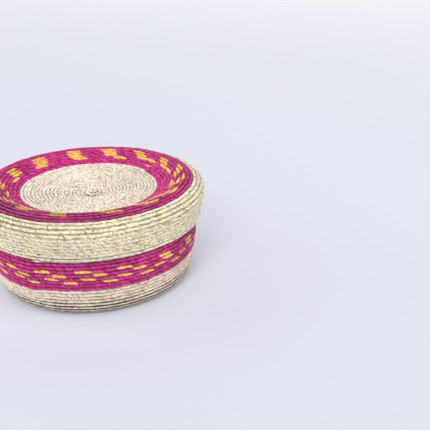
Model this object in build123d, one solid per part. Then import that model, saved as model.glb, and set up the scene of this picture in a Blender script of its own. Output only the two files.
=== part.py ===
"""Coiled palm-leaf tortilla warmer: a round basket and a dished cap lid that lifts off.

Each half is one long bundle of palm wound in a spiral from its centre to its rim and wrapped
with palm-leaf splints. A node is the stretch of wall wrapped in one kind of splint, and two
stretches share the face where the wrapping changes. The yellow splints are pieces of their own
over the crests of their coils, and so is the knot that each spiral starts from.
Millimetres, +Z up, origin at the centre of the flat bottom.
"""

import os
from itertools import accumulate
from math import ceil, radians, tan

from build123d import *

# Coils, splints and knots
WALL_THICKNESS = 4.4  # one coil, over the splints that wrap it
SPLINT_CREST = 0.6  # how far a yellow splint stands out over its coil
SPLINT_WRAP = 0.7  # share of its coil's width that a yellow splint covers
KNOT_RADIUS = 5.5
KNOT_SIDES = 8
KNOT_HEIGHT = 1.2  # how far a knot stands out over the coils round it
CORNER_TURN = 42.0  # a bend of the wall is drawn with a corner for each such turn, in degrees
GROOVE_SPACING = 12.0  # one groove is drawn for about three coils of the lid's disc and side
GROOVE_WIDTH = 3.0
GROOVE_DEPTH = 1.3

# Basket, along the middle of its wall
FOOT_RADIUS = 95.5
BELLY_RADIUS = 103.8
BELLY_HEIGHT = 47.0
COLLAR_INSET = 1.0  # the collar stands this much inside the belly
BASKET_HEIGHT = 96.9
HEEL_BEND = 12.5
BAND_BOTTOM = 30.4
BAND_TOP = 60.3  # the wall stands upright from here
BAND_COILS = 8

# Lid, along the middle of its wall, heights above the edge of its rim
DISC_RADIUS = 69.6
DISC_HEIGHT = 27.6
CREST_INSET = 22.5  # the crest lies this much inside the shoulder
CREST_HEIGHT = 38.8
SHOULDER_HEIGHT = 31.3
SHOULDER_FLARE = 6.2  # the shoulder stands out this much further than the rim
CREST_BEND = 18.0
SHOULDER_BEND = 9.0
RING_INSET = 11.0  # the dyed ring ends this much inside the shoulder
RING_COILS = 10
LID_KNOT_X = 5.0  # the spiral of the lid starts a little off its centre
LID_KNOT_Y = -17.0

# Fit between the halves
LID_RUNNING_GAP = 0.6  # lid's rim round the widest part of the basket
LID_SEAT_GAP = 0.3  # lid over the basket's rim
RIM_BEVEL = 1.2  # rounding of a rim coil

# Yellow motif, a row of splints on each of four coils as (coil, first angle, angle of a splint,
# number of splints): coils counted from the first one of the dyed stretch, angles in degrees
BAND_MOTIF = ((6, 8.0, 7.6, 18), (5, 16.5, 7.2, 18), (4, 10.3, 7.2, 18), (3, 1.5, 7.6, 18))
RING_MOTIF = ((3, 13.0, 10.5, 12), (4, 24.3, 10.5, 14), (5, 24.0, 10.5, 14), (6, 23.4, 10.5, 14))

HALF_WALL = WALL_THICKNESS / 2
HAIR = 1e-4  # a length that is nothing next to a coil


def rounded(corners, bends):
    """Points of a line whose corners are bent, with a corner for each CORNER_TURN of a bend."""
    corners = [Vector(*corner) for corner in corners]
    points = corners[:1]
    for before, corner, after, bend in zip(corners, corners[1:], corners[2:], bends):
        along = (corner - before).normalized()
        turn = along.get_signed_angle(after - corner, Vector(0, 0, 1))
        steps = ceil(abs(turn) / CORNER_TURN) if bend else 1
        reach = bend * tan(radians(abs(turn) / steps / 2))
        point = corner - along * (bend * tan(radians(abs(turn) / 2)) - reach)
        for step in range(steps):
            points.append(point)
            along = along.rotate(Axis.Z, turn / steps)
            point += along * 2 * reach
    return points + corners[-1:]


class Wall:
    """A round wall, given by the middle line of its section from its centre to its rim."""

    def __init__(self, corners, bends, outward, slanted):
        points = rounded(corners, bends)
        self.line = Polyline(*points)
        self.corners = list(accumulate((b - a).length for a, b in zip(points, points[1:])))
        self.outward = outward  # 1 where the outside lies right of the line, -1 where left
        self.slanted = slanted  # kind of edge that takes the fewest facets on its slanted sides

    def point(self, length):
        """Point on the middle line, at a length from the centre."""
        return self.line.position_at(length, position_mode=PositionMode.LENGTH)

    def side(self, length):
        """Direction square to the middle line, towards the outside."""
        length = min(max(length, HAIR), self.line.length - HAIR)
        along = self.line.tangent_at(length, position_mode=PositionMode.LENGTH)
        return Vector(along.Y, -along.X) * self.outward

    def beside(self, length, distance):
        """Point beside the middle line towards the outside, mitred at a corner of the line."""
        before = self.side(length - HAIR)
        after = self.side(length + HAIR)
        return self.point(length) + (before + after) * (distance / (1 + before.dot(after)))

    def stretch(self, start, end, distance):
        """Corners of the line beside the middle line, between two lengths from the centre."""
        between = [corner for corner in self.corners if start + HAIR < corner < end - HAIR]
        return [self.beside(length, distance) for length in [start, *between, end]]

    def where(self, reached):
        """Length at which a test of the middle line's points first comes true."""
        low, high = 0.0, self.line.length
        while high - low > HAIR / 100:
            middle = (low + high) / 2
            if reached(self.point(middle)):
                high = middle
            else:
                low = middle
        return high

    def grooved(self, start, end):
        """Corners of the outside between two lengths, with the main grooves between its coils."""
        lands = max(round((end - start) / GROOVE_SPACING), 1)
        points = []
        land_start = start
        for land in range(1, lands):
            groove = start + (end - start) * land / lands
            points += self.stretch(land_start, groove - GROOVE_WIDTH / 2, HALF_WALL)
            points.append(self.beside(groove, HALF_WALL - GROOVE_DEPTH))
            land_start = groove + GROOVE_WIDTH / 2
        return points + self.stretch(land_start, end, HALF_WALL)

    def solid(self, outside, start, end):
        """Solid stretch of the wall between its outside and its inside."""
        return ring(outside + self.stretch(start, end, -HALF_WALL)[::-1], self.slanted)

    def coils(self, start, end):
        """Solid stretch of the wall, plain outside."""
        return self.solid(self.stretch(start, end, HALF_WALL), start, end)

    def bevelled(self, outside):
        """Outside that ends before the rim's bevel, carried on over the bevel."""
        return outside + [self.beside(self.line.length, HALF_WALL - RIM_BEVEL)]

    def splints(self, start, end, coils, motif):
        """Yellow splints over the coils of a dyed stretch, one solid for each."""
        pitch = (end - start) / coils
        reach = SPLINT_WRAP * pitch / 2
        pieces = []
        for coil, first, angle, count in motif:
            middle = start + (coil - 0.5) * pitch
            foot = self.stretch(middle - reach, middle + reach, HALF_WALL)
            outline = foot + [self.beside(middle, HALF_WALL + SPLINT_CREST)]
            for splint in range(count):
                pieces.append(ring(outline, Line, first + splint * 360 / count, angle))
        return Compound(children=pieces)


def ring(outline, slanted, start=0.0, angle=360.0):
    """Solid of revolution from a closed outline of points (radius, height)."""
    corners = [Vector(point.X, 0, point.Y) for point in outline]
    edges = []
    for a, b in zip(corners, corners[1:] + corners[:1]):
        square = min(abs(a.X - b.X), abs(a.Z - b.Z)) < HAIR
        edges.append(Line(a, b) if square else slanted(a, b))
    return revolve(Rot(0, 0, start) * make_face(edges), Axis.Z, angle)


def knot(x, y, height):
    """Knot of folded splints, eight-sided, that lies on the coils at a height."""
    return Pos(x, y, height) * extrude(RegularPolygon(KNOT_RADIUS, KNOT_SIDES), KNOT_HEIGHT)


def underside(outline, radius):
    """Lowest height of an outline at a radius."""
    heights = []
    for a, b in zip(outline, outline[1:]):
        if min(a.X, b.X) <= radius <= max(a.X, b.X) and a.X != b.X:
            heights.append(a.Y + (b.Y - a.Y) * (radius - a.X) / (b.X - a.X))
    return min(heights)


def basket():
    """Nodes of the basket, and the outer edge of its rim's land as (radius, height)."""
    collar_radius = BELLY_RADIUS - COLLAR_INSET
    corners = [
        (0, HALF_WALL),
        (FOOT_RADIUS, HALF_WALL),
        (BELLY_RADIUS, BELLY_HEIGHT),
        (collar_radius, BAND_TOP),
        (collar_radius, BASKET_HEIGHT),
    ]
    wall = Wall(corners, [HEEL_BEND, 0, 0], 1, Bezier)
    rim = wall.line.length
    floor_end = wall.corners[0]
    band_start = wall.where(lambda p: p.Y >= BAND_BOTTOM)
    band_end = wall.where(lambda p: p.Y >= BAND_TOP)
    nodes = {
        "base_start_knot": knot(0, 0, wall.beside(0, -HALF_WALL).Y),
        "base_floor_coil": wall.coils(0, floor_end),
        "base_lower_wall_coil": wall.coils(floor_end, band_start),
        "base_dyed_band": wall.coils(band_start, band_end),
        "base_yellow_splints": wall.splints(band_start, band_end, BAND_COILS, BAND_MOTIF),
        "base_collar_coil": wall.solid(
            wall.bevelled(wall.stretch(band_end, rim - RIM_BEVEL, HALF_WALL)), band_end, rim
        ),
    }
    return nodes, wall.beside(rim, HALF_WALL - RIM_BEVEL)


def lid(seat):
    """Nodes of the lid, seated over the outer edge of the basket's rim."""
    rim_radius = BELLY_RADIUS + HALF_WALL + LID_RUNNING_GAP + HALF_WALL
    shoulder_radius = rim_radius + SHOULDER_FLARE
    corners = [
        (0, DISC_HEIGHT),
        (DISC_RADIUS, DISC_HEIGHT),
        (shoulder_radius - CREST_INSET, CREST_HEIGHT),
        (shoulder_radius, SHOULDER_HEIGHT),
        (rim_radius, 0),
    ]
    wall = Wall(corners, [0, CREST_BEND, SHOULDER_BEND], -1, Line)
    rim = wall.line.length
    disc_end = wall.corners[0]
    ring_end = wall.where(lambda p: p.X >= shoulder_radius - RING_INSET)
    nodes = {
        "lid_start_knot": knot(LID_KNOT_X, LID_KNOT_Y, wall.beside(0, HALF_WALL).Y),
        "lid_centre_coil": wall.solid(wall.grooved(0, disc_end), 0, disc_end),
        "lid_dyed_ring": wall.coils(disc_end, ring_end),
        "lid_yellow_splints": wall.splints(disc_end, ring_end, RING_COILS, RING_MOTIF),
        "lid_side_coil": wall.solid(
            wall.bevelled(wall.grooved(ring_end, rim - RIM_BEVEL)), ring_end, rim
        ),
    }
    inside = wall.stretch(0, rim, -HALF_WALL)
    height = seat.Y + LID_SEAT_GAP - underside(inside, seat.X)
    return {name: Pos(0, 0, height) * node for name, node in nodes.items()}


def main():
    os.makedirs("parts", exist_ok=True)
    nodes, seat = basket()
    nodes.update(lid(seat))
    for name, node in nodes.items():
        export_step(node, f"parts/{name}.step")


main()
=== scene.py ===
"""Looks of the coiled palm-leaf tortilla warmer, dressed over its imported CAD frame.

Each half of the warmer is one bundle of palm, wound in a spiral and wrapped with palm-leaf
splints. The script lays the spirals out along the middle of the CAD walls and hands each stretch
to one Geometry Nodes tree, which wraps it splint by splint. Lengths are in metres.
"""

from collections import namedtuple
from functools import partial
from math import acos, ceil, cos, hypot, radians, sin, tan, tau

import bpy
import numpy as np
from mathutils import Matrix, Vector


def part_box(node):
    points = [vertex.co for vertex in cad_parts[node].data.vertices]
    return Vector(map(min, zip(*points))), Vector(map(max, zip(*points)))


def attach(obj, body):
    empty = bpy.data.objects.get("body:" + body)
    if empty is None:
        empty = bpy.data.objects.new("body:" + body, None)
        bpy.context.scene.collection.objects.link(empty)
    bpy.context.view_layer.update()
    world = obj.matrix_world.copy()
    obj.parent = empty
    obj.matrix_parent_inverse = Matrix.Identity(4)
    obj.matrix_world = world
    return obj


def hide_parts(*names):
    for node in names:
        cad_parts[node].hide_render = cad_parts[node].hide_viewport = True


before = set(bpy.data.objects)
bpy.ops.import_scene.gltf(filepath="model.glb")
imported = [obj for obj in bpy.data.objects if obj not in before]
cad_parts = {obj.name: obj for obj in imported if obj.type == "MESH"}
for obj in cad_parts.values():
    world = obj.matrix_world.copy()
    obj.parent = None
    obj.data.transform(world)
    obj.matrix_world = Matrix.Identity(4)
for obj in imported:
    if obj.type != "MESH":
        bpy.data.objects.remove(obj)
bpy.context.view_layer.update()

MM = 0.001

# Middle line of a wall
BEND_POINTS = 25
LINE_POINTS = 1500
SAME_SPOT = 1e-7  # points nearer to each other than this are one

# Wrapping
WALL_THICKNESS = 4.4 * MM
HALF_WALL = WALL_THICKNESS / 2
SPLINT_WIDTH = 2.2 * MM
SEAM_DEPTH = 0.5 * MM  # dip between two splints
SPLINT_SWELL = 0.11  # a loosely pulled splint stands out by this share of the coil's radius
SPLINT_SHIFT = 0.5 * MM  # how far a splint strays to one side of its coil
SEAM_STRAY = 1.1 * MM  # how far a seam strays along its coil
COIL_OVERLAP = 1.12  # coils are pressed together, so each is this much wider than its pitch
COIL_FLATNESS = 0.6  # 1 for a round coil, less for one pressed flat where it faces out
SLANT = 1.15  # a splint moves back along the coil by this share of the coil's width
LEAN_RADIUS = 30 * MM  # and does so in full from this far off the middle on
UNEVENNESS = 0.35 * MM  # how far a hand-wound coil strays
WANDER_SCALE = 28.0  # it strays to and fro over about 36 mm
WANDER_REACH = 4.0  # noise seldom reaches its ends, so it is spread this much wider
RINGS_PER_SPLINT = 3.0  # rings of points: one in the seam and two on the splint
RING_SIDES = 10
PLACE_STEP = 2.0 * MM  # distance between two places on the path of a coil
START_TURNS = 0.35  # a coil starts this far round, under its knot

# Yellow splints, wound over the others
YELLOW_PROUD = 0.06 * MM  # how far they stand out from the magenta ones
YELLOW_WIDTHS = (1.0, 1.04)  # share of the coil's width that one covers, on band and ring
YELLOW_PLACES = 9
TUCK_SHARE = 0.2  # share of its length over which one narrows at each end
TUCKED_WIDTH = 0.7
TUCKED_FULLNESS = 0.9
UNDER_YELLOW = 0.84  # fullness of the coil under one
UNDER_EDGE = 0.0015  # turns over which the coil dips there

# Last coils of a spiral, which level out into an even rim
LEVEL_TURNS = 4
LEVEL_STEP = 0.12  # share of a turn over which a level coil steps to the next one

# Basket, along the middle of its wall
FOOT_RADIUS = 95.5 * MM
HEEL_BEND = 12.5 * MM
BELLY_HEIGHT = 47.0 * MM
BAND_TOP = 60.3 * MM
DIP_DEPTH = 3.0 * MM  # the coils of the band run lower on one side
DIP_LENGTHS = (100 * MM, 120 * MM, 156 * MM, 180 * MM)
DIP_ANGLES = (100.0, 160.0, 242.0, 256.0)
BASE_TURNS = (0.0, 32.6, 40.6, 50.6)  # turns at the centre, under and over the band, at the rim
BAND_BOTTOM_LENGTH = 120.7 * MM
BAND_TOP_LENGTH = 150.3 * MM
BAND_END_ANGLE = 246.0  # where the dyed band's last coil ends, in degrees
BAND_WINDING = 8.433  # turns of dyed coil

# Lid, along the middle of its wall, heights above the edge of its rim
DISC_RADIUS = 69.6 * MM
DISC_HEIGHT = 27.6 * MM
CREST_HEIGHT = 38.8 * MM
SHOULDER_HEIGHT = 31.3 * MM
SHOULDER_FLARE = 6.2 * MM
CREST_INSET = 22.5 * MM
CREST_BEND = 18.0 * MM
SHOULDER_BEND = 9.0 * MM
LID_RUNNING_GAP = 0.6 * MM
DISC_TURNS = 18.7
DISC_END_LENGTH = 67.3 * MM
DISC_END_ANGLE = 41.0
RING_TURNS = 9.78
RING_END_LENGTH = 104.65 * MM
SIDE_TURNS = 11.2
RIM_TURNS = 2.0
LID_KNOT = Vector((5.0 * MM, -17.0 * MM))

# Knot: a curl of splint over the first coil, as an oval pad
KNOT_PLACES = 130
KNOT_TURNS = 2.1
KNOT_ANGLE = 70.0  # where its inner end points
KNOT_INNER = 0.3 * MM
KNOT_REACH = 7.0 * MM  # how much further out it ends
KNOT_OVAL = 1.4
KNOT_HEIGHT = 1.2 * MM
KNOT_DROP = 2.2 * MM  # its outer end lies this much lower, down between the coils
KNOT_LOOK = {"half_width": 2.3 * MM, "groove": 0.45, "tone": 1.1, "fullness": 0.7}

# Stray end of fibre that lies in a bow over the ring
FIBRE_PLACES = 24
FIBRE_ANGLE = 40.0
FIBRE_TURNS = 1.6  # counted from the start of the ring
FIBRE_LENGTH = 10 * MM
FIBRE_BOW = 2.5 * MM
FIBRE_LIFT = 0.6 * MM
FIBRE_RISE = 0.8 * MM  # its far end stands up this much more
FIBRE_LOOK = {"half_width": 0.45 * MM, "groove": 0.0, "tone": 1.3, "fullness": 0.2}

# Yellow splints of the band, a row on each of four coils, as (turn counted back from the end of
# the band, length in degrees, first angles on the front); 18 to a row, the others spread evenly
BAND_ROWS = (
    (-3.25, 8.4, (227, 247, 268, 289, 313, 336)),
    (-4.25, 7.2, (236, 257, 277, 298, 316, 336)),
    (-5.25, 7.2, (232, 252, 271, 290, 310, 329)),
    (-6.25, 7.6, (218, 241, 262, 282, 302, 322)),
)
BAND_REPEATS = 18

# Yellow splints of the ring: blocks of three, as (first angle of the inner one, lean in degrees
# to the next one out, coil of the inner one), and single tails as (first angle, coil)
RING_BLOCKS = (
    (23.8, 3.3, 4),
    (49, 3, 3),
    (76, 1.5, 3),
    (103.5, 0.3, 3),
    (131, -0.5, 3),
    (157.5, -0.3, 3),
    (184, -0.5, 4),
    (214, -4.5, 4),
    (233, -1.5, 4),
    (254, 0.5, 5),
    (280, 3, 5),
    (299, 5.5, 5),
    (319, 6, 5),
    (340, 6.5, 5),
    (0.5, 5.2, 5),
)
RING_TAILS = (
    (13, 4),
    (39, 3),
    (68, 2),
    (100, 2),
    (133, 2),
    (165, 2),
    (195, 3),
    (226, 4),
    (256, 4),
    (286, 4),
    (317, 4),
    (347, 4),
)
BLOCK_ROWS = 3
RING_SPLINT = 10.3  # length in degrees

# How deep the painted shade in the grooves is and how open they are, and how light the splints,
# as (length along the wall in millimetres, value); the basket is painted darker towards its heel,
# as painted shade near the floor
BASE_GROOVES = ((0, 0.3), (93, 1.1), (98, 1.25), (104, 1.0), (109, 0.5), (115, 0.33), (122, 0.6))
BASE_TONES = ((0, 0.95), (88, 0.68), (95, 0.7), (101, 0.95), (108, 1.07), (150, 1.07), (155, 1.0))
LID_GROOVES = (
    (0, 0.5),
    (12, 0.6),
    (20, 0.34),
    (66, 0.26),
    (70, 0.18),
    (84, 0.4),
    (92, 1.0),
    (105, 1.1),
    (107, 0.5),
    (119, 0.34),
    (122, 0.03),
    (142, 0.05),
    (144, 0.65),
    (147, 0.65),
)
LID_TONES = (
    (0, 1.01),
    (68, 1.01),
    (69, 1.1),
    (80, 1.06),
    (88, 0.93),
    (96, 0.86),
    (105, 0.84),
    (106, 1),
)

# Sides that differ in painted light and shade, as the angles between which a bump rises and falls
FAINT_GROOVE_ANGLES = (85.0, 125.0, 260.0, 300.0)  # top of the lid, counted from -Y on
FAINT_GROOVE_SHARE = 0.8  # the painted shade in its grooves is this much weaker there
LIT_SIDE_ANGLES = (25.0, 75.0, 210.0, 250.0)  # whole lid, counted from -Y on; its lit side, with weaker painted shade in the grooves
# how much weaker the painted shade in the grooves is on the lit side
LIT_SIDE_GROOVE_SHARE = 0.55
RING_SHEEN_LENGTHS = (68 * MM, 72 * MM, 105 * MM, 106 * MM)  # painted sheen: the ring is painted lighter on that side
RING_SHEEN_SHARE = 0.12
SHADED_BAND_ANGLES = (312.0, 345.0, 400.0, 440.0)  # painted shade: the band is darker on this side
BAND_SHADE_SHARE = 0.3

# Palm leaf
PATCH_SIZE = 25 * MM  # broad patches, where the leaf was drier or greener
FIBRE_SPACING = 0.25 * MM
SPECK_SIZE = 1.3 * MM
GAP_SIZE = 18 * MM  # stretches over which the painted shade in the grooves is deeper or fainter
FIBRE_RELIEF = 0.2 * MM

# Floor, with its share of glow as (distance from the middle where it starts to grow, distance
# where it stops, share at the first, share at the second)
FLOOR_REACH = 12.0
NEAR_GLOW = (0.09, 0.17, 0.1, 0.6)
FAR_GLOW = (0.5, 2.0, 0.0, 0.3)  # on top of the near one
BACK_DISTANCES = (-0.3, 2.6)  # distances back between which the glow gets lighter, as painted light on the floor
BACK_LEANS = 0.8  # and how far that direction leans to the right

# Lamps and camera
LAMP_AIM = Vector((0, 0, 0.06))
CAMERA_PLACE = (0.1252, -0.7621, 0.3885)
CAMERA_PITCH = 66.67
CAMERA_ROLL = -1.2477
CAMERA_LENS = 67.98
CAMERA_SENSOR = 36.0


# The middle line of a wall


def bent_line(corners, bends, outward):
    """Middle line of a wall: arrays of length, radius, height, and its directions as (r, z)."""
    corners = [np.array(corner) for corner in corners]
    points = [corners[0]]
    for before, corner, after, bend in zip(corners, corners[1:], corners[2:], bends):
        into = (corner - before) / np.linalg.norm(corner - before)
        out = (after - corner) / np.linalg.norm(after - corner)
        turn = acos(np.clip(into @ out, -1, 1))
        side = np.sign(into[0] * out[1] - into[1] * out[0])
        normal = np.array([-into[1], into[0]]) * side
        start = corner - into * bend * tan(turn / 2)
        centre = start + normal * bend
        for angle in np.linspace(0, turn, BEND_POINTS):
            points.append(centre + bend * (into * sin(angle) - normal * cos(angle)))
    points = np.array([*points, corners[-1]])
    steps = np.linalg.norm(np.diff(points, axis=0), axis=1)
    points = points[[True, *(steps > SAME_SPOT)]]
    steps = np.linalg.norm(np.diff(points, axis=0), axis=1)
    lengths = np.concatenate([[0], np.cumsum(steps)])
    even = np.linspace(0, lengths[-1], LINE_POINTS)
    radius = np.interp(even, lengths, points[:, 0])
    height = np.interp(even, lengths, points[:, 1])
    along = np.stack([np.gradient(radius), np.gradient(height)], 1)
    along /= np.linalg.norm(along, axis=1)[:, None]
    away = np.stack([along[:, 1], -along[:, 0]], 1) * outward
    return even, radius, height, along, away


def smooth(x):
    """0 below 0, 1 above 1, and an even turn between them."""
    x = min(max(x, 0.0), 1.0)
    return x * x * (3 - 2 * x)


def bump(x, low, rise, fall, high):
    """1 between rise and fall, running out to 0 at low and high."""
    return smooth((x - low) / (rise - low)) * smooth((high - x) / (high - fall))


def read_off(table, length):
    """Value at a length of a table whose lengths are in millimetres."""
    return float(np.interp(length / MM, *zip(*table)))


def basket_sides(angle, length):
    """Factors on the basket's grooves and tones at an angle and a length of its wall, as painted
    shade.
    """
    angle %= 360
    # painted shade: one side of the dyed band is darker, as in shade under the lid's rim
    dark = bump(angle, *SHADED_BAND_ANGLES) + bump(angle + 360, *SHADED_BAND_ANGLES)
    dyed = BAND_BOTTOM_LENGTH < length < BAND_TOP_LENGTH
    return 1.0, 1 - BAND_SHADE_SHARE * dark * dyed


def lid_sides(angle, length):
    """Factors on the lid's grooves and tones at an angle and a length of its wall, as painted
    light.
    """
    angle = (angle + 90) % 360
    # painted shade: the grooves are painted fainter on these sides of the lid's top and on its
    # lit side
    tight = bump(angle, *FAINT_GROOVE_ANGLES) * (length < RING_END_LENGTH)
    lit_side = bump(angle, *LIT_SIDE_ANGLES)
    groove = (1 - FAINT_GROOVE_SHARE * tight) * (1 - LIT_SIDE_GROOVE_SHARE * lit_side)
    # painted sheen: the ring is painted lighter on the lid's lit side
    return groove, 1 + RING_SHEEN_SHARE * lit_side * bump(length, *RING_SHEEN_LENGTHS)


# A spot on the middle of a coil, the directions out of the wall and across to the next coil,
# and how the coil looks there
Place = namedtuple("Place", "turns spot outward across half_width groove tone fullness")


class Spiral:
    """One bundle wound along a wall, from its centre to its rim."""

    def __init__(
        self,
        line,
        marks,
        angle_at,
        sense,
        grooves,
        tones,
        sides,
        dip=0.0,
        centre=(0, 0),
        settled=1.0,
    ):
        self.lengths, self.radius, self.height, self.along, self.away = line
        self.marks = marks  # (turns, length) where the pitch changes
        self.angle_at = angle_at  # (turns, degrees) of one spot on it
        self.sense = sense  # 1 where it winds anticlockwise seen from above
        self.grooves = grooves
        self.tones = tones
        self.sides = sides  # gives the factors on them at an angle and a length
        self.dip = dip
        self.centre = Vector(centre)  # where it starts
        self.settled = settled  # length from which it runs round the middle of the wall
        self.turns = marks[-1][0]

    def angle(self, turns):
        """Angle in degrees at a turn count."""
        return self.angle_at[1] + self.sense * 360 * (turns - self.angle_at[0])

    def at(self, length, values):
        """Value at a length of one of the arrays of the middle line."""
        return float(np.interp(length, self.lengths, values))

    def turns_at(self, angle, after):
        """First turn count from after on that lies at an angle."""
        share = self.sense * (angle - self.angle(after)) / 360
        return after + share % 1

    def edge(self, turns):
        """Length at which a coil starts; the last turns level out into an even rim."""
        left = self.turns - turns
        (before_turns, before), (_, end) = self.marks[-2:]
        if left <= 0:
            return end
        if left >= LEVEL_TURNS:
            return float(np.interp(turns, *zip(*self.marks)))
        pitch = (end - before) / (self.turns - before_turns)
        whole = ceil(left)
        share = whole - left
        level = min((LEVEL_TURNS - left) / (LEVEL_TURNS - 1), 1)
        step = (1 - level) * share + level * smooth(1 - (1 - share) / LEVEL_STEP)
        return end - pitch * (whole - step)

    def place(self, turns):
        """Place of the coil at a turn count."""
        low, high = self.edge(turns), self.edge(turns + 1)
        middle = (low + high) / 2
        angle = self.angle(turns)
        groove, tone = self.sides(angle, middle)
        groove *= read_off(self.grooves, middle)
        tone *= read_off(self.tones, middle)
        middle -= self.dip * bump(middle, *DIP_LENGTHS) * bump(angle % 360, *DIP_ANGLES)
        ray = Vector((cos(radians(angle)), sin(radians(angle))))
        stray = max(1 - middle / self.settled, 0)
        squeeze = 1 - (self.centre.dot(ray) / self.settled if stray else 0)
        spot = self.centre * stray + ray * self.at(middle, self.radius)
        outward = [self.at(middle, column) for column in self.away.T]
        across = [self.at(middle, column) for column in self.along.T]
        return Place(
            turns,
            Vector((*spot, self.at(middle, self.height))),
            Vector((ray.x * outward[0], ray.y * outward[0], outward[1])),
            Vector((ray.x * across[0], ray.y * across[0], across[1])),
            (high - low) / 2 * squeeze,
            groove,
            tone,
            1.0,
        )

    def run(self, start, end):
        """Places from one turn count to another."""
        places = []
        turns = start
        while turns < end:
            places.append(self.place(turns))
            reach = max(hypot(*places[-1].spot.xy), 2 * PLACE_STEP)
            turns += PLACE_STEP / (tau * reach)
        places.append(self.place(end))
        return places


# Nodes


def add(tree, kind, inputs=(), **settings):
    """Adds a node with its settings, and its sockets set or linked."""
    new = tree.nodes.new(kind)
    for name, value in settings.items():
        setattr(new, name, value)
    for socket, value in dict(inputs).items():
        target = new.inputs[socket]
        if isinstance(value, bpy.types.NodeSocket):
            tree.links.new(value, target)
        else:
            target.default_value = value
    return new


def add_math(tree, operation, *values, clamp=False):
    """Output of a new math node on numbers or sockets."""
    inputs = dict(enumerate(values))
    node = add(tree, "ShaderNodeMath", inputs, operation=operation, use_clamp=clamp)
    return node.outputs[0]


def add_range(tree, value, start, end, low=0.0, high=1.0):
    """Output of a new node that turns a value from start to end into one from low to high."""
    inputs = {0: value, 1: start, 2: end, 3: low, 4: high}
    return add(tree, "ShaderNodeMapRange", inputs, clamp=True).outputs[0]


def add_mix(tree, share, a, b, blend="MIX"):
    """Output of a new node that mixes two colours."""
    inputs = {0: share, 6: a, 7: b}
    return add(tree, "ShaderNodeMix", inputs, data_type="RGBA", blend_type=blend).outputs[2]


def linear(colour):
    """Linear RGBA of an sRGB hex colour."""
    parts = [int(colour[i : i + 2], 16) / 255 for i in (1, 3, 5)]
    return (*(c / 12.92 if c <= 0.04045 else ((c + 0.055) / 1.055) ** 2.4 for c in parts), 1.0)


# Splint-wrapped coil


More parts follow.
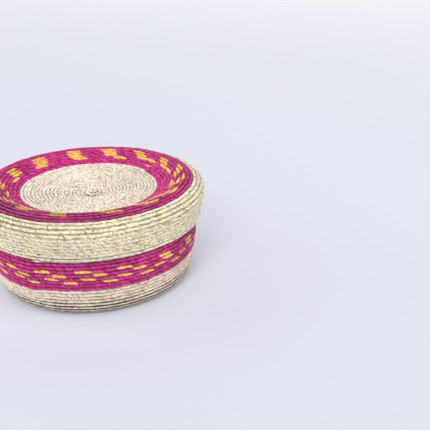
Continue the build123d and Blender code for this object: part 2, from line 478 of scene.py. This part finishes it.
def wrapped_coil_tree():
    """Tree that wraps a path of coil with splints, each a little different."""
    tree = bpy.data.node_groups.new("wrapped coil", "GeometryNodeTree")
    sockets = (
        ("Path", "NodeSocketGeometry"),
        ("Thickness", "NodeSocketFloat"),
        ("Splint width", "NodeSocketFloat"),
        ("Seam depth", "NodeSocketFloat"),
        ("Slant", "NodeSocketFloat"),
        ("Unevenness", "NodeSocketFloat"),
        ("Swell", "NodeSocketFloat"),
        ("Shift", "NodeSocketFloat"),
        ("Flatness", "NodeSocketFloat"),
        ("Seam stray", "NodeSocketFloat"),
        ("Seed", "NodeSocketInt"),
        ("Palm", "NodeSocketMaterial"),
    )
    for name, kind in sockets:
        tree.interface.new_socket(name, in_out="INPUT", socket_type=kind)
    tree.interface.new_socket("Coil", in_out="OUTPUT", socket_type="NodeSocketGeometry")
    given = add(tree, "NodeGroupInput").outputs
    math = partial(add_math, tree)

    def vector(operation, *values, scale=None):
        inputs = dict(enumerate(values))
        if scale is not None:
            inputs["Scale"] = scale
        made = add(tree, "ShaderNodeVectorMath", inputs, operation=operation)
        return made.outputs["Value" if operation == "DOT_PRODUCT" else "Vector"]

    def named(name, kind):
        return add(
            tree, "GeometryNodeInputNamedAttribute", {"Name": name}, data_type=kind
        ).outputs["Attribute"]

    def store(geometry, name, value, kind="FLOAT"):
        return add(
            tree,
            "GeometryNodeStoreNamedAttribute",
            {"Geometry": geometry, "Name": name, "Value": value},
            data_type=kind,
            domain="POINT",
        ).outputs["Geometry"]

    position = add(tree, "GeometryNodeInputPosition").outputs[0]
    outward = named("outward", "FLOAT_VECTOR")
    across = named("across", "FLOAT_VECTOR")

    # The path wanders a little, the same way for neighbouring coils
    curve = add(tree, "GeometryNodeMeshToCurve", {"Mesh": given["Path"]}).outputs[0]
    wander = add(
        tree, "ShaderNodeTexNoise", {"Vector": position, "Scale": WANDER_SCALE, "Detail": 2.0}
    ).outputs["Color"]
    wander = vector("SUBTRACT", wander, (0.5, 0.5, 0.5))
    reach = math("MULTIPLY", given["Unevenness"], WANDER_REACH)
    wander = vector("SCALE", wander, scale=reach)
    curve = add(
        tree, "GeometryNodeSetPosition", {"Geometry": curve, "Offset": wander}
    ).outputs[0]

    # Rings of points: the first of each splint lies in its seam
    step = math("DIVIDE", given["Splint width"], RINGS_PER_SPLINT)
    curve = add(
        tree, "GeometryNodeResampleCurve", {"Curve": curve, "Length": step}, mode="LENGTH"
    ).outputs[0]
    index = add(tree, "GeometryNodeInputIndex").outputs[0]
    in_spline = add(tree, "GeometryNodeSplineParameter").outputs
    splint = math("FLOOR", math("DIVIDE", in_spline["Index"], RINGS_PER_SPLINT))
    splint_id = math("ADD", math("SUBTRACT", index, in_spline["Index"]), splint)
    in_seam = math("LESS_THAN", math("MODULO", in_spline["Index"], RINGS_PER_SPLINT), 0.5)
    for name, offset in (("tint", 0), ("loose", 100), ("stray", 200)):
        seed = math("ADD", given["Seed"], offset)
        chance = add(
            tree, "FunctionNodeRandomValue", {"ID": splint_id, "Seed": seed}, data_type="FLOAT"
        )
        curve = store(curve, name, chance.outputs[1])
    curve = store(curve, "seam", in_seam)
    curve = store(curve, "length", in_spline["Length"])
    tangent = add(tree, "GeometryNodeInputTangent").outputs[0]
    curve = store(curve, "onward", tangent, "FLOAT_VECTOR")

    # A seam comes a little early or late, but the ends of the coil stay
    early = math("MULTIPLY", math("SUBTRACT", named("stray", "FLOAT"), 0.5), in_seam)
    early = math("MULTIPLY", early, given["Seam stray"])
    left = math("SUBTRACT", 1.0, in_spline["Factor"])
    between = math("GREATER_THAN", math("MINIMUM", in_spline["Factor"], left), 0.0)
    early = math("MULTIPLY", early, between)
    early = vector("SCALE", named("onward", "FLOAT_VECTOR"), scale=early)
    curve = add(
        tree, "GeometryNodeSetPosition", {"Geometry": curve, "Offset": early}
    ).outputs[0]
    curve = store(curve, "middle", position, "FLOAT_VECTOR")

    # A round tube, pressed to the coil's own width and sheared so that the splints slant
    half = math("MULTIPLY", given["Thickness"], 0.5)
    circle = add(
        tree, "GeometryNodeCurvePrimitiveCircle", {"Resolution": RING_SIDES, "Radius": half}
    ).outputs[0]
    tube = add(
        tree,
        "GeometryNodeCurveToMesh",
        {"Curve": curve, "Profile Curve": circle, "Fill Caps": True},
    ).outputs[0]
    middle = named("middle", "FLOAT_VECTOR")
    from_middle = vector("SUBTRACT", position, middle)
    out = vector("DOT_PRODUCT", from_middle, outward)
    sideways = math("DIVIDE", vector("DOT_PRODUCT", from_middle, across), half)
    fullness = named("fullness", "FLOAT")
    swell = math("MULTIPLY", math("SUBTRACT", named("loose", "FLOAT"), 0.6), given["Swell"])
    swell = math("ADD", swell, 1.0)
    sink = math("DIVIDE", math("MULTIPLY", named("seam", "FLOAT"), given["Seam depth"]), half)
    swell = math("MULTIPLY", math("SUBTRACT", swell, sink), fullness)
    breadth = named("half_width", "FLOAT")
    stray = math("MULTIPLY", math("SUBTRACT", named("stray", "FLOAT"), 0.5), given["Shift"])
    aside = math("ADD", math("MULTIPLY", sideways, breadth), stray)
    lean = math("MULTIPLY", math("MULTIPLY", aside, given["Slant"]), named("lean", "FLOAT"))
    flat = math("SUBTRACT", 1.0, given["Flatness"])
    flat = math("MULTIPLY_ADD", flat, named("groove", "FLOAT"), given["Flatness"])
    crown = math("POWER", math("ABSOLUTE", math("DIVIDE", out, half)), flat)
    out = math("MULTIPLY", math("MULTIPLY", math("SIGN", out), crown), half)
    spot = vector("ADD", middle, vector("SCALE", outward, scale=math("MULTIPLY", out, swell)))
    spot = vector("ADD", spot, vector("SCALE", across, scale=aside))
    spot = vector("SUBTRACT", spot, vector("SCALE", named("onward", "FLOAT_VECTOR"), scale=lean))
    tube = store(tube, "aside", sideways)
    tube = add(
        tree, "GeometryNodeSetPosition", {"Geometry": tube, "Position": spot}
    ).outputs[0]
    tube = add(tree, "GeometryNodeSetShadeSmooth", {"Geometry": tube}).outputs[0]
    tube = add(tree, "GeometryNodeRealizeInstances", {"Geometry": tube}).outputs[0]
    tube = add(
        tree, "GeometryNodeSetMaterial", {"Geometry": tube, "Material": given["Palm"]}
    ).outputs[0]
    add(tree, "NodeGroupOutput", {"Coil": tube})
    return tree


# Attributes that only the tree needs
WORKING = ("middle", "onward", "outward", "across", "half_width", "lean", "fullness", "stray")


def wrap(name, runs, palm, body, nodes, seed, proud=0.0, unevenness=UNEVENNESS, slant=SLANT):
    """Makes a piece of splint-wrapped coil over one or more runs of places."""
    places = [place for run in runs for place in run]
    edges = []
    first = 0
    for run in runs:
        edges += [(i, i + 1) for i in range(first, first + len(run) - 1)]
        first += len(run)
    path = bpy.data.meshes.new(name + " path")
    path.from_pydata([place.spot for place in places], edges, [])
    lean = [smooth(place.spot.xy.length / LEAN_RADIUS) for place in places]
    for key, values in (
        ("outward", [place.outward for place in places]),
        ("across", [place.across for place in places]),
        ("half_width", [place.half_width * COIL_OVERLAP + proud / 2 for place in places]),
        ("groove", [place.groove for place in places]),
        ("tone", [place.tone for place in places]),
        ("fullness", [place.fullness for place in places]),
        ("lean", lean),
    ):
        values = np.array(values, dtype=np.float32)
        flat = values.ndim == 1
        attribute = path.attributes.new(key, "FLOAT" if flat else "FLOAT_VECTOR", "POINT")
        attribute.data.foreach_set("value" if flat else "vector", values.ravel())
    carrier = bpy.data.objects.new(name + " path", path)
    bpy.context.scene.collection.objects.link(carrier)
    modifier = carrier.modifiers.new("wrap", "NODES")
    modifier.node_group = WRAPPED_COIL
    settings = {
        "Thickness": WALL_THICKNESS + 2 * proud,
        "Splint width": SPLINT_WIDTH,
        "Seam depth": SEAM_DEPTH,
        "Slant": slant,
        "Unevenness": unevenness,
        "Swell": SPLINT_SWELL,
        "Shift": SPLINT_SHIFT,
        "Flatness": COIL_FLATNESS,
        "Seam stray": SEAM_STRAY,
        "Seed": seed,
        "Palm": palm,
    }
    for item in WRAPPED_COIL.interface.items_tree:
        if item.name in settings:
            modifier[item.identifier] = settings[item.name]
    graph = bpy.context.evaluated_depsgraph_get()
    mesh = bpy.data.meshes.new_from_object(carrier.evaluated_get(graph), depsgraph=graph)
    bpy.data.objects.remove(carrier)
    for key in WORKING:
        if key in mesh.attributes:
            mesh.attributes.remove(mesh.attributes[key])
    mesh.name = name
    piece = bpy.data.objects.new(name, mesh)
    bpy.context.scene.collection.objects.link(piece)
    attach(piece, body)
    if nodes:
        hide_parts(*nodes)


# Materials


def palm_leaf(name, shades, crown_highlight, seam, groove, hollow_shade, speck, patches, roughness):
    """Palm-leaf splints: a shade for each splint, darker seams, painted shade in the grooves and
    a painted highlight on the crown, specks and fibres.
    """
    material = bpy.data.materials.new(name)
    material.use_nodes = True
    tree = material.node_tree
    tree.nodes.clear()
    math = partial(add_math, tree)
    ranged = partial(add_range, tree)
    mix = partial(add_mix, tree)

    def attribute(key):
        return add(tree, "ShaderNodeAttribute", attribute_name=key).outputs["Fac"]

    def noise(vector, size, detail):
        inputs = {"Vector": vector, "Scale": 1 / size, "Detail": detail}
        return add(tree, "ShaderNodeTexNoise", inputs).outputs[0]

    place = add(tree, "ShaderNodeTexCoord").outputs["Object"]
    ramp = add(tree, "ShaderNodeValToRGB", {0: attribute("tint")})
    stops = ramp.color_ramp.elements
    while len(stops) < len(shades):
        stops.new(0.5)
    for i, (stop, shade) in enumerate(zip(stops, shades)):
        stop.position = i / (len(shades) - 1)
        stop.color = linear(shade)
    colour = ramp.outputs[0]

    # Broad patches, where the leaf was drier or greener
    patch = noise(place, PATCH_SIZE, 2.0)
    hue = mix(ranged(patch, 0.38, 0.62), linear(patches[0]), linear(patches[1]))
    colour = mix(1.0, colour, hue, "MULTIPLY")
    shade = math("MULTIPLY", ranged(patch, 0.35, 0.65, 0.96, 1.04), attribute("tone"))

    # Fibres run across the coil
    along = math("MULTIPLY", attribute("length"), 1 / FIBRE_SPACING)
    aside = attribute("aside")
    weave = {0: along, 1: math("MULTIPLY", aside, 0.8)}
    fibre = noise(add(tree, "ShaderNodeCombineXYZ", weave).outputs[0], 1.0, 2.0)
    shade = math("MULTIPLY", shade, ranged(fibre, 0.3, 0.7, 0.8, 1.13))
    grey = add(tree, "ShaderNodeCombineColor", {0: shade, 1: shade, 2: shade}).outputs[0]
    colour = mix(1.0, colour, grey, "MULTIPLY")

    # Specks of broken fibre
    dots = ranged(noise(place, SPECK_SIZE, 0.0), 0.59, 0.71, 0.0, 0.95)
    colour = mix(dots, colour, linear(speck))

    # Painted highlight: splints are painted paler over the crown of the coil, where light catches
    # them
    loose = attribute("loose")
    in_seam = attribute("seam")
    edge = math("ABSOLUTE", aside)
    crown = math("MULTIPLY", ranged(edge, 0.65, 0.1), ranged(in_seam, 0.7, 0.1))
    highlit = math("MULTIPLY", crown, ranged(loose, 0.3, 0.9, 0.1, 0.85))
    colour = mix(highlit, colour, linear(crown_highlight))

    # Seams between splints, open where a splint was pulled less tight
    parted = math("MULTIPLY", ranged(in_seam, 0.35, 0.9), ranged(loose, 0.0, 1.0, 0.2, 0.95))
    colour = mix(parted, colour, linear(seam))

    # Painted shade in the grooves between coils: dark where the coils stand apart, else only
    # where a seam meets them
    gap = ranged(noise(place, GAP_SIZE, 1.0), 0.4, 0.6, 0.75, 1.2)
    gap = math("MULTIPLY", attribute("groove"), gap, clamp=True)
    depth = ranged(math("MULTIPLY_ADD", gap, 0.34, edge), 0.64, 0.92)
    stitch = math("MAXIMUM", ranged(in_seam, 0.0, 0.8, 0.35, 1.0), math("MULTIPLY", gap, 0.9))
    chance = ranged(math("ADD", loose, gap), 0.2, 0.9, 0.3, 1.0)
    groove_shade = math("MULTIPLY", math("MULTIPLY", depth, stitch), chance)
    colour = mix(groove_shade, colour, mix(gap, linear(groove), linear(hollow_shade)))

    # Fibres stand up a little, and a broken one leaves a pit
    relief = {"Height": math("SUBTRACT", fibre, dots), "Strength": 0.35, "Distance": FIBRE_RELIEF}
    skin = add(
        tree,
        "ShaderNodeBsdfPrincipled",
        {
            "Base Color": colour,
            "Roughness": roughness,
            "Specular IOR Level": 0.3,
            "Normal": add(tree, "ShaderNodeBump", relief).outputs[0],
        },
    )
    add(tree, "ShaderNodeOutputMaterial", {"Surface": skin.outputs[0]})
    return material


# Dry undyed palm leaf, on the lid's side: matt, straw-coloured with greener patches, brown specks
LID_PALM = palm_leaf(
    "natural palm leaf, lid",
    shades=("#B8AA80", "#D6CCA8", "#E6DCC0", "#EEE6CE", "#DCD4AE", "#F4ECDA", "#E6DAC0"),
    crown_highlight="#FDFAF0",
    seam="#66552F",
    groove="#7A683F",
    hollow_shade="#362814",
    speck="#4A3D20",
    patches=("#FFF9F4", "#F8FAEA"),
    roughness=0.55,
)
# Dry undyed palm leaf, on the lid's disc: matt, paler and greyer than on its side
DISC_PALM = palm_leaf(
    "natural palm leaf, centre of the lid",
    shades=("#BCAC86", "#D8CCB0", "#E8DCC6", "#F0E8D6", "#DED4B2", "#F6F0E2", "#E8DCC8"),
    crown_highlight="#FFFCF4",
    seam="#76643E",
    groove="#7C6A42",
    hollow_shade="#3A2E16",
    speck="#4C4022",
    patches=("#FEF8FA", "#F9F9F6"),
    roughness=0.55,
)
# Dry undyed palm leaf, on the basket: matt, pinkish, with painted shade nearly black between the
# coils
BASE_PALM = palm_leaf(
    "natural palm leaf, basket",
    shades=("#B0967C", "#D2BEA8", "#E4D2C0", "#EEE0D2", "#D0BEA0", "#F2E8DE", "#E4D0C0"),
    crown_highlight="#FFF8F0",
    seam="#66492F",
    groove="#6C5236",
    hollow_shade="#1E1610",
    speck="#443222",
    patches=("#FFF6F1", "#FBF9EF"),
    roughness=0.55,
)
# Leaf boiled in magenta dye: a different depth for each splint, wine-red in the seams
MAGENTA_PALM = palm_leaf(
    "magenta dyed palm leaf",
    shades=("#720440", "#B60E6A", "#D02280", "#E64A9C", "#8C0852", "#D02A86"),
    crown_highlight="#E04A96",
    seam="#48042A",
    groove="#66063C",
    hollow_shade="#380420",
    speck="#460228",
    patches=("#FBEDEE", "#F5EEFF"),
    roughness=0.6,
)
# Leaf boiled in yellow dye: golden, and brown where it bends down into a seam
YELLOW_PALM = palm_leaf(
    "yellow dyed palm leaf",
    shades=("#CD8A20", "#E1AD3A", "#ECC453", "#F2D46E", "#D59A28", "#ECC658"),
    crown_highlight="#F6E68B",
    seam="#914E19",
    groove="#9B5920",
    hollow_shade="#592D11",
    speck="#A3591E",
    patches=("#FCF0DC", "#FCF7DE"),
    roughness=0.5,
)

WRAPPED_COIL = wrapped_coil_tree()


# The two spirals

basket_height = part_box("base_collar_coil")[1].z
collar_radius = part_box("base_collar_coil")[1].x - HALF_WALL
belly_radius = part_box("base_dyed_band")[1].x - HALF_WALL
rim_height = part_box("lid_side_coil")[0].z
rim_radius = belly_radius + HALF_WALL + LID_RUNNING_GAP + HALF_WALL
shoulder_radius = rim_radius + SHOULDER_FLARE

basket_line = bent_line(
    (
        (0, HALF_WALL),
        (FOOT_RADIUS, HALF_WALL),
        (belly_radius, BELLY_HEIGHT),
        (collar_radius, BAND_TOP),
        (collar_radius, basket_height),
    ),
    (HEEL_BEND, 0, 0),
    1,
)
lid_line = bent_line(
    (
        (0, rim_height + DISC_HEIGHT),
        (DISC_RADIUS, rim_height + DISC_HEIGHT),
        (shoulder_radius - CREST_INSET, rim_height + CREST_HEIGHT),
        (shoulder_radius, rim_height + SHOULDER_HEIGHT),
        (rim_radius, rim_height),
    ),
    (0, CREST_BEND, SHOULDER_BEND),
    -1,
)
basket = Spiral(
    basket_line,
    tuple(zip(BASE_TURNS, (0.0, BAND_BOTTOM_LENGTH, BAND_TOP_LENGTH, basket_line[0][-1]))),
    (BASE_TURNS[2], BAND_END_ANGLE),
    1,
    BASE_GROOVES,
    BASE_TONES,
    basket_sides,
    dip=DIP_DEPTH,
)
ring_end = DISC_TURNS + RING_TURNS
lid = Spiral(
    lid_line,
    (
        (0.0, 0.0),
        (DISC_TURNS, DISC_END_LENGTH),
        (ring_end, RING_END_LENGTH),
        (ring_end + SIDE_TURNS, lid_line[0][-1]),
    ),
    (DISC_TURNS, DISC_END_ANGLE),
    -1,
    LID_GROOVES,
    LID_TONES,
    lid_sides,
    centre=LID_KNOT,
    settled=DISC_END_LENGTH,
)


# Pieces


def band_spans():
    """Turn counts between which the yellow splints of the band are wound."""
    spans = []
    for turn, length, angles in BAND_ROWS:
        gaps = BAND_REPEATS - len(angles) + 1
        rest = np.linspace(angles[-1], angles[0] + 360, gaps + 1)[1:-1]
        for angle in (*angles, *rest):
            start = basket.turns_at(angle, BASE_TURNS[2] + turn)
            spans.append((start, start + length / 360))
    return sorted(spans)


def ring_spans():
    """Turn counts between which the yellow splints of the ring are wound."""
    splints = list(RING_TAILS)
    for angle, lean, coil in RING_BLOCKS:
        splints += [(angle + lean * row, coil + row) for row in range(BLOCK_ROWS)]
    spans = []
    for angle, coil in splints:
        start = lid.turns_at(angle + RING_SPLINT, DISC_TURNS + coil)
        spans.append((start, start + RING_SPLINT / 360))
    return sorted(spans)


def under(spiral, spans, start, end):
    """Run of coil from start to end that lies lower under the spans of yellow splint."""
    marks = [mark for a, b in spans for mark in (a, a + UNDER_EDGE, b - UNDER_EDGE, b)]
    heights = (1.0, UNDER_YELLOW, UNDER_YELLOW, 1.0) * len(spans)
    run = []
    for place in spiral.run(start, end):
        low = float(np.interp(place.turns, marks, heights))
        run.append(place._replace(fullness=low))
    return run


def over(spiral, spans, width):
    """Runs of yellow splint, narrowed at both ends where they slip under their neighbours."""
    runs = []
    for start, end in spans:
        run = []
        for share in np.linspace(0, 1, YELLOW_PLACES):
            free = smooth(min(share, 1 - share) / TUCK_SHARE)
            place = spiral.place(start + share * (end - start))
            half = place.half_width * width * (TUCKED_WIDTH + (1 - TUCKED_WIDTH) * free)
            full = TUCKED_FULLNESS + (1 - TUCKED_FULLNESS) * free
            run.append(place._replace(half_width=half, fullness=full))
        runs.append(run)
    return runs


band_end = BASE_TURNS[2]
band_start = band_end - BAND_WINDING
floor_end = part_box("base_floor_coil")[1].x / BAND_BOTTOM_LENGTH * BASE_TURNS[1]
floor_coil = [basket.run(START_TURNS, floor_end)]
wall_coil = [basket.run(floor_end, band_start)]
band_yellow = band_spans()
band_coil = [under(basket, band_yellow, band_start, band_end)]
band_splints = over(basket, band_yellow, YELLOW_WIDTHS[0])
collar_coil = [basket.run(band_end, BASE_TURNS[3])]
wrap("basket_floor", floor_coil, BASE_PALM, "base", ["base_floor_coil"], 1, unevenness=0.0)
wrap(
    "basket_lower_wall",
    wall_coil,
    BASE_PALM,
    "base",
    ["base_lower_wall_coil"],
    2,
    unevenness=UNEVENNESS / 2,
)
wrap("basket_magenta_band", band_coil, MAGENTA_PALM, "base", ["base_dyed_band"], 3)
wrap(
    "basket_yellow_dashes",
    band_splints,
    YELLOW_PALM,
    "base",
    ["base_yellow_splints"],
    4,
    YELLOW_PROUD,
)
wrap("basket_collar", collar_coil, BASE_PALM, "base", ["base_collar_coil"], 5)

rim_start = lid.turns - RIM_TURNS
disc_coil = [lid.run(START_TURNS, DISC_TURNS)]
ring_yellow = ring_spans()
ring_coil = [under(lid, ring_yellow, DISC_TURNS, ring_end)]
ring_splints = over(lid, ring_yellow, YELLOW_WIDTHS[1])
side_coil = [lid.run(ring_end, rim_start)]
rim_coil = [lid.run(rim_start, lid.turns)]
wrap("lid_centre", disc_coil, DISC_PALM, "lid", ["lid_centre_coil"], 6)
wrap("lid_magenta_ring", ring_coil, MAGENTA_PALM, "lid", ["lid_dyed_ring"], 7)
wrap(
    "lid_yellow_dashes",
    ring_splints,
    YELLOW_PALM,
    "lid",
    ["lid_yellow_splints"],
    8,
    YELLOW_PROUD,
)
wrap("lid_side", side_coil, LID_PALM, "lid", ["lid_side_coil"], 9)
wrap("lid_rim", rim_coil, LID_PALM, "lid", (), 10)


def knot(name, centre, foot, palm, body, node, seed):
    """Makes the knot that a spiral starts from: a tight curl of splint over its first coil."""
    places = []
    for share in np.linspace(0, 1, KNOT_PLACES):
        angle = radians(KNOT_ANGLE) + share * KNOT_TURNS * tau
        ray = Vector((cos(angle), sin(angle)))
        reach = KNOT_INNER + KNOT_REACH * share
        spot = centre + Vector((ray.x * reach, ray.y * reach * KNOT_OVAL))
        spot = Vector((*spot, foot + KNOT_HEIGHT - KNOT_DROP * share**2))
        places.append(Place(share, spot, Vector((0, 0, 1)), Vector((*ray, 0)), **KNOT_LOOK))
    wrap(name, [places], palm, body, [node], seed, unevenness=0.0)


floor_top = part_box("base_start_knot")[0].z
disc_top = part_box("lid_start_knot")[0].z
knot("basket_knot", Vector((0, 0)), floor_top, BASE_PALM, "base", "base_start_knot", 11)
knot("lid_knot", LID_KNOT, disc_top, DISC_PALM, "lid", "lid_start_knot", 12)


def loose_fibre():
    """Makes the stray end of fibre that lies in a bow over the ring."""
    foot = lid.place(lid.turns_at(FIBRE_ANGLE, DISC_TURNS + FIBRE_TURNS))
    onward = foot.across.cross(foot.outward)
    places = []
    for share in np.linspace(0, 1, FIBRE_PLACES):
        spot = foot.spot + onward * (share - 0.5) * FIBRE_LENGTH
        spot -= foot.across * FIBRE_BOW * sin(share * tau / 2)
        spot += foot.outward * (HALF_WALL + FIBRE_LIFT + FIBRE_RISE * share)
        places.append(Place(share, spot, foot.outward, foot.across, **FIBRE_LOOK))
    wrap("lid_loose_fibre", [places], LID_PALM, "lid", (), 21, unevenness=0.0, slant=0.0)


loose_fibre()


# Floor, light and camera


def plain_floor():
    """Makes the matt floor, which also glows for the camera, less so close to the basket."""
    corners = [(-1, -1), (1, -1), (1, 1), (-1, 1)]
    mesh = bpy.data.meshes.new("floor")
    mesh.from_pydata(
        [(x * FLOOR_REACH, y * FLOOR_REACH, 0) for x, y in corners], [], [(0, 1, 2, 3)]
    )
    ground = bpy.data.objects.new("floor", mesh)
    bpy.context.scene.collection.objects.link(ground)
    material = bpy.data.materials.new("pale floor")
    material.use_nodes = True
    tree = material.node_tree
    tree.nodes.clear()
    matt = add(tree, "ShaderNodeBsdfDiffuse", {"Color": linear("#D4D5DF")}).outputs[0]

    # Painted light: the glow is lighter towards the back and the right
    place = add(tree, "ShaderNodeTexCoord").outputs["Object"]
    along = add(tree, "ShaderNodeSeparateXYZ", {0: place}).outputs
    back = add_math(tree, "MULTIPLY_ADD", along["X"], BACK_LEANS, along["Y"])
    back = add_range(tree, back, *BACK_DISTANCES)
    shade = add_mix(tree, back, linear("#D4D6E2"), linear("#F8F9FD"))
    glow = add(tree, "ShaderNodeEmission", {"Color": shade, "Strength": 1.0}).outputs[0]

    away = add(tree, "ShaderNodeVectorMath", {0: place}, operation="LENGTH").outputs["Value"]
    share = add_math(
        tree, "ADD", add_range(tree, away, *NEAR_GLOW), add_range(tree, away, *FAR_GLOW)
    )
    seen = add(tree, "ShaderNodeLightPath").outputs["Is Camera Ray"]
    share = add_math(tree, "MULTIPLY", seen, share)
    both = add(tree, "ShaderNodeMixShader", {0: share, 1: matt, 2: glow}).outputs[0]
    add(tree, "ShaderNodeOutputMaterial", {"Surface": both})
    mesh.materials.append(material)


plain_floor()

world = bpy.data.worlds.new("soft room")
world.use_nodes = True
sky = world.node_tree.nodes["Background"]
sky.inputs["Color"].default_value = linear("#F6F7FC")
sky.inputs["Strength"].default_value = 0.82
bpy.context.scene.world = world


def soft_lamp(name, spot, size, power):
    """Makes a square lamp at a spot that shines on the warmer."""
    lamp = bpy.data.lights.new(name, "AREA")
    lamp.energy = power
    lamp.size = size
    holder = bpy.data.objects.new(name, lamp)
    holder.location = spot
    aim = LAMP_AIM - Vector(spot)
    holder.rotation_euler = aim.to_track_quat("-Z", "Y").to_euler()
    bpy.context.scene.collection.objects.link(holder)


soft_lamp("key", (-0.7, -3.2, 2.6), 1.4, 92.0)
soft_lamp("fill", (3.0, -1.2, 1.4), 1.8, 50.0)
soft_lamp("back", (-1.6, 2.8, 1.1), 1.5, 18.0)
soft_lamp("side", (-3.0, 0.3, 1.3), 1.6, 22.0)

lens = bpy.data.cameras.new("camera")
lens.lens = CAMERA_LENS
lens.sensor_width = CAMERA_SENSOR
camera = bpy.data.objects.new("camera", lens)
camera.matrix_world = (
    Matrix.Translation(CAMERA_PLACE)
    @ Matrix.Rotation(radians(CAMERA_PITCH), 4, "X")
    @ Matrix.Rotation(radians(CAMERA_ROLL), 4, "Z")
)
bpy.context.scene.collection.objects.link(camera)
bpy.context.scene.camera = camera
bpy.context.scene.view_settings.view_transform = "Standard"
